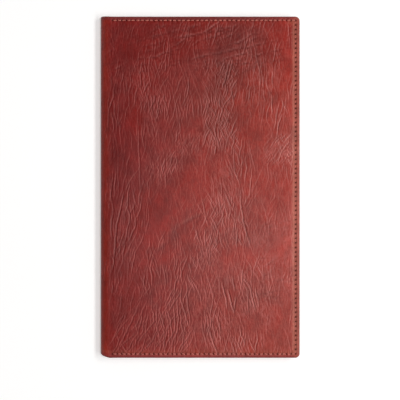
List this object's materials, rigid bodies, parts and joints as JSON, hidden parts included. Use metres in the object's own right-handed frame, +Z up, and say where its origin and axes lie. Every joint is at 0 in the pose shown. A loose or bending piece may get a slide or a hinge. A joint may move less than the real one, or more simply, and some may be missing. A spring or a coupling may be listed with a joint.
{
  "type": "check presenter",
  "caption": "Leather check presenter that opens like a book: stitched, board-stiffened covers on a rolled spine, with check, card and receipt pockets inside.",
  "frame": {"origin": "on the surface that the closed folder lies on, under the middle of its outline", "axes": "+X from the spine to the fore edge, +Y along the spine to the head, +Z up out of the front cover"},
  "size_m": [0.1334, 0.2286, 0.0122],
  "materials": {
    "cover_leather": "hand-stained, lightly glazed, wrinkled natural grain",
    "lining_leather": "smooth skived lining leather, matt",
    "pocket_leather": "smooth stained leather, low sheen",
    "stitch_thread": "twisted thread, waxed",
    "grey_board": "grey solid board, uncoated",
    "filler_card": "thin card, uncoated"
  },
  "bodies": {
    "back": {"back_cover_leather": "cover_leather", "back_board": "grey_board", "back_filler_card": "filler_card", "back_lining": "lining_leather", "back_needle_thread": "stitch_thread", "back_bobbin_thread": "stitch_thread", "back_pocket_thread": "stitch_thread", "check_pocket_hem": "pocket_leather", "check_pocket_panel": "pocket_leather", "card_pocket_hem": "pocket_leather", "card_pocket_panel": "pocket_leather"},
    "spine": {"spine_leather": "cover_leather", "spine_lining": "lining_leather"},
    "front": {"front_cover_leather": "cover_leather", "front_board": "grey_board", "front_filler_card": "filler_card", "front_lining": "lining_leather", "front_needle_thread": "stitch_thread", "front_bobbin_thread": "stitch_thread", "front_pocket_thread": "stitch_thread", "receipt_pocket_hem": "pocket_leather", "receipt_pocket_panel": "pocket_leather"}
  },
  "joints": [
    {"name": "spine_fold", "type": "hinge", "parent": "back", "child": "spine", "pos_m": [-0.06489, 0, 0.00179], "axis": [0, -1, 0], "range_deg": [0, 90]},
    {"name": "cover_fold", "type": "hinge", "parent": "spine", "child": "front", "pos_m": [-0.06489, 0, 0.01041], "axis": [0, -1, 0], "range_deg": [0, 90]}
  ],
  "couplings": [
    {"joint": "spine_fold", "follows": "cover_fold", "ratio": 1}
  ]
}
